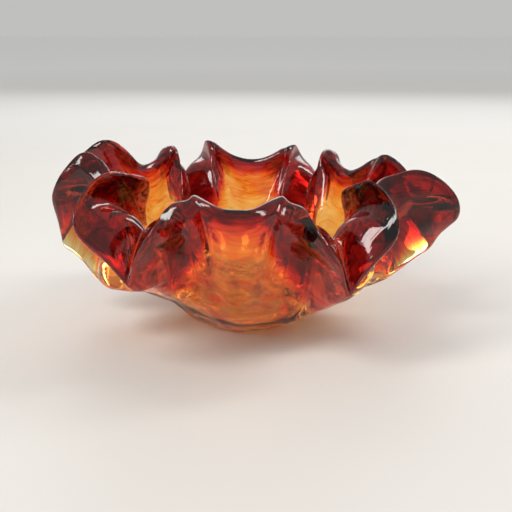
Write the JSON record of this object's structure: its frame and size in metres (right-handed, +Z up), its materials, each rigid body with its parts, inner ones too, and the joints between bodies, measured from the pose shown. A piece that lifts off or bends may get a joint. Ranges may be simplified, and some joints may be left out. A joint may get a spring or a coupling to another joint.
{
  "type": "art glass bowl",
  "caption": "Round art glass bowl of fused clear, amber and ruby glass, with petal lobes, curled tips and drooping spouts around its rim.",
  "frame": {"origin": "centre of the round foot, on the plane it stands on", "axes": "+Z up, along the axis of the bowl; the front of the bowl, a lobe between two spouts, faces -Y; +X to the right seen from the front"},
  "size_m": [0.1869, 0.173, 0.0827],
  "materials": {
    "clear_glass": "fire polished, very pale amber",
    "amber_glass": "fire polished, amber to orange",
    "ruby_glass": "fire polished, heat-struck ruby red"
  },
  "bodies": {
    "root": {"clear_base": "clear_glass", "amber_body": "amber_glass", "ruby_lobe_front": "ruby_glass", "ruby_lobe_front_right": "ruby_glass", "ruby_lobe_back_right": "ruby_glass", "ruby_lobe_back": "ruby_glass", "ruby_lobe_back_left": "ruby_glass", "ruby_lobe_front_left": "ruby_glass", "ruby_spout_front_right": "ruby_glass", "ruby_spout_right": "ruby_glass", "ruby_spout_back_right": "ruby_glass", "ruby_spout_back_left": "ruby_glass", "ruby_spout_left": "ruby_glass", "ruby_spout_front_left": "ruby_glass"}
  },
  "joints": []
}
